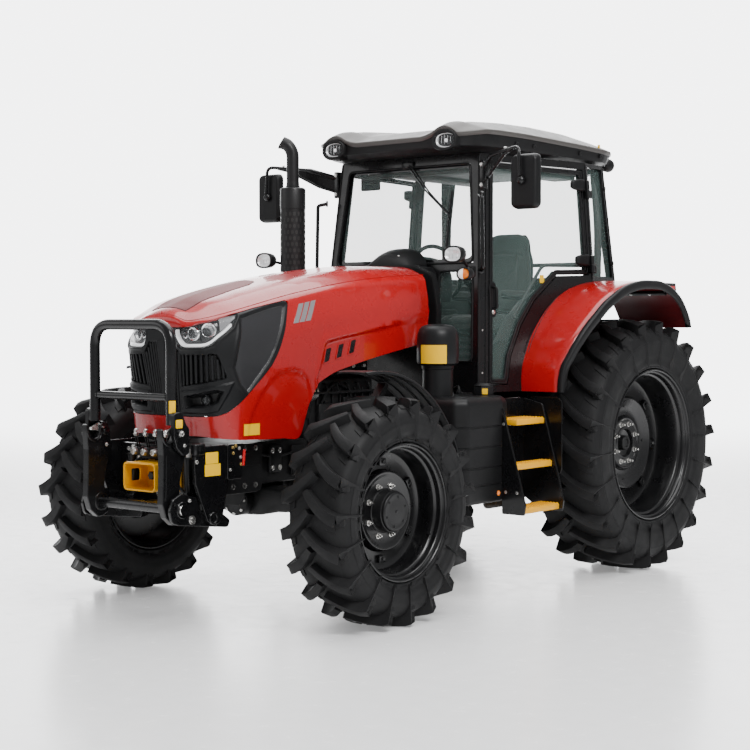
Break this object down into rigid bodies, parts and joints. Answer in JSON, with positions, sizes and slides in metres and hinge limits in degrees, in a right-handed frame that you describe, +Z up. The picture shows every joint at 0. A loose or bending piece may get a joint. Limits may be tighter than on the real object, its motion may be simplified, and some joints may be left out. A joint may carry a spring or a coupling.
{
  "type": "farm tractor",
  "caption": "Four-wheel-drive farm tractor with a glazed cab, sloping hinged bonnet, front lift arms with a tube guard, vertical exhaust and a rear three-point linkage.",
  "frame": {"origin": "ground point under the centre of the overall length and width", "axes": "+Y towards the rear, +X towards the tractor's left side, +Z up; the front points along -Y"},
  "size_m": [2.41, 4.6899, 3],
  "materials": {
    "red_gloss": "gloss red paint",
    "black_matt": "matt black plastic",
    "black_steel": "satin black paint",
    "dark_grey_steel": "dark grey paint",
    "cast_dark": "dark painted casting",
    "roof_grey": "taupe grey plastic",
    "yellow": "yellow paint",
    "tyre": "matt dark rubber",
    "glass": "clear, faint green",
    "lamp": "clear lamp lenses",
    "red_lamp": "red lamp lenses",
    "seat": "grey green cloth",
    "zinc": "zinc plated steel"
  },
  "bodies": {
    "chassis": {"front_axle_beam": "cast_dark", "front_frame": "cast_dark", "engine_block": "cast_dark", "transmission_housing": "cast_dark", "front_linkage_frame": "black_steel", "front_guard": "black_steel", "front_pto_guard": "yellow", "front_couplers": "zinc", "fuel_tank": "black_matt", "tool_box": "black_matt", "side_canister": "black_steel", "step_frames": "black_steel", "step_treads": "yellow", "exhaust_stack": "dark_grey_steel", "cab_frame": "black_steel", "windscreen": "glass", "quarter_windows": "glass", "rear_window": "glass", "cab_roof": "roof_grey", "rear_mudguards": "red_gloss", "rear_mudguard_lips": "black_matt", "scuttle_cowl": "black_matt", "side_lamps": "black_matt", "mirror_arms_and_handrails": "black_steel", "mirror_heads": "black_matt", "work_lamps": "lamp", "tail_lamps": "red_lamp", "wipers": "black_steel", "operator_seat_base": "black_matt", "operator_seat": "seat", "dashboard": "black_matt", "steering_wheel": "black_matt", "side_console": "black_matt", "rear_hitch_bracket": "cast_dark", "drawbar": "black_steel"},
    "bonnet": {"bonnet_shell": "red_gloss", "front_grille_mask": "black_matt", "headlights": "lamp"},
    "left_door": {"left_door_frame": "black_steel", "left_door_glass": "glass"},
    "right_door": {"right_door_frame": "black_steel", "right_door_glass": "glass"},
    "left_knuckle": {"front_left_knuckle": "cast_dark", "front_left_mudguard": "black_matt"},
    "right_knuckle": {"front_right_knuckle": "cast_dark", "front_right_mudguard": "black_matt"},
    "front_left_wheel": {"front_left_rim": "black_steel", "front_left_tyre": "tyre"},
    "front_right_wheel": {"front_right_rim": "black_steel", "front_right_tyre": "tyre"},
    "rear_left_wheel": {"rear_left_rim": "black_steel", "rear_left_tyre": "tyre"},
    "rear_right_wheel": {"rear_right_rim": "black_steel", "rear_right_tyre": "tyre"},
    "front_arms": {"front_lift_arms": "black_steel"},
    "lower_links": {"rear_lower_links": "black_steel"},
    "lift_arms": {"rear_lift_arms": "black_steel"},
    "lift_rods": {"rear_lift_rods": "zinc"},
    "upper_link": {"top_link": "black_steel"}
  },
  "joints": [
    {"name": "front_left_steering", "type": "hinge", "parent": "chassis", "child": "left_knuckle", "pos_m": [0.76, -1.338, 0.632], "axis": [0, 0, 1], "range_deg": [-35, 35]},
    {"name": "front_right_steering", "type": "hinge", "parent": "chassis", "child": "right_knuckle", "pos_m": [-0.76, -1.338, 0.632], "axis": [0, 0, 1], "range_deg": [-35, 35]},
    {"name": "front_left_wheel_spin", "type": "hinge", "parent": "left_knuckle", "child": "front_left_wheel", "pos_m": [1.005, -1.338, 0.632], "axis": [1, 0, 0], "continuous": true},
    {"name": "front_right_wheel_spin", "type": "hinge", "parent": "right_knuckle", "child": "front_right_wheel", "pos_m": [-1.005, -1.338, 0.632], "axis": [1, 0, 0], "continuous": true},
    {"name": "rear_left_wheel_spin", "type": "hinge", "parent": "chassis", "child": "rear_left_wheel", "pos_m": [0.94, 1.338, 0.846], "axis": [1, 0, 0], "continuous": true},
    {"name": "rear_right_wheel_spin", "type": "hinge", "parent": "chassis", "child": "rear_right_wheel", "pos_m": [-0.94, 1.338, 0.846], "axis": [1, 0, 0], "continuous": true},
    {"name": "bonnet_hinge", "type": "hinge", "parent": "chassis", "child": "bonnet", "pos_m": [0, -0.15, 1.985], "axis": [-1, 0, 0], "range_deg": [0, 45]},
    {"name": "left_door_hinge", "type": "hinge", "parent": "chassis", "child": "left_door", "pos_m": [0.78375, 1.159, 2.345], "axis": [-0.0797, 0, 0.9968], "range_deg": [0, 75]},
    {"name": "right_door_hinge", "type": "hinge", "parent": "chassis", "child": "right_door", "pos_m": [-0.78375, 1.159, 2.345], "axis": [-0.0797, 0, -0.9968], "range_deg": [0, 75]},
    {"name": "front_arms_pivot", "type": "hinge", "parent": "chassis", "child": "front_arms", "pos_m": [0, -2.23, 0.665], "axis": [1, 0, 0], "range_deg": [0, 95]},
    {"name": "lower_links_pivot", "type": "hinge", "parent": "chassis", "child": "lower_links", "pos_m": [0, 1.62, 0.52], "axis": [1, 0, 0], "range_deg": [-12, 25]},
    {"name": "lift_arms_pivot", "type": "hinge", "parent": "chassis", "child": "lift_arms", "pos_m": [0, 1.6, 1.12], "axis": [1, 0, 0], "range_deg": [-12, 25]},
    {"name": "lift_rods_pivot", "type": "hinge", "parent": "lift_arms", "child": "lift_rods", "pos_m": [0, 1.958, 1.158], "axis": [1, 0, 0], "range_deg": [-25, 12]},
    {"name": "upper_link_pivot", "type": "hinge", "parent": "chassis", "child": "upper_link", "pos_m": [0, 1.64, 1], "axis": [-1, 0, 0], "range_deg": [0, 80]}
  ],
  "couplings": [
    {"joint": "front_right_steering", "follows": "front_left_steering", "ratio": 1},
    {"joint": "lift_arms_pivot", "follows": "lower_links_pivot", "ratio": 1},
    {"joint": "lift_rods_pivot", "follows": "lower_links_pivot", "ratio": -1}
  ]
}
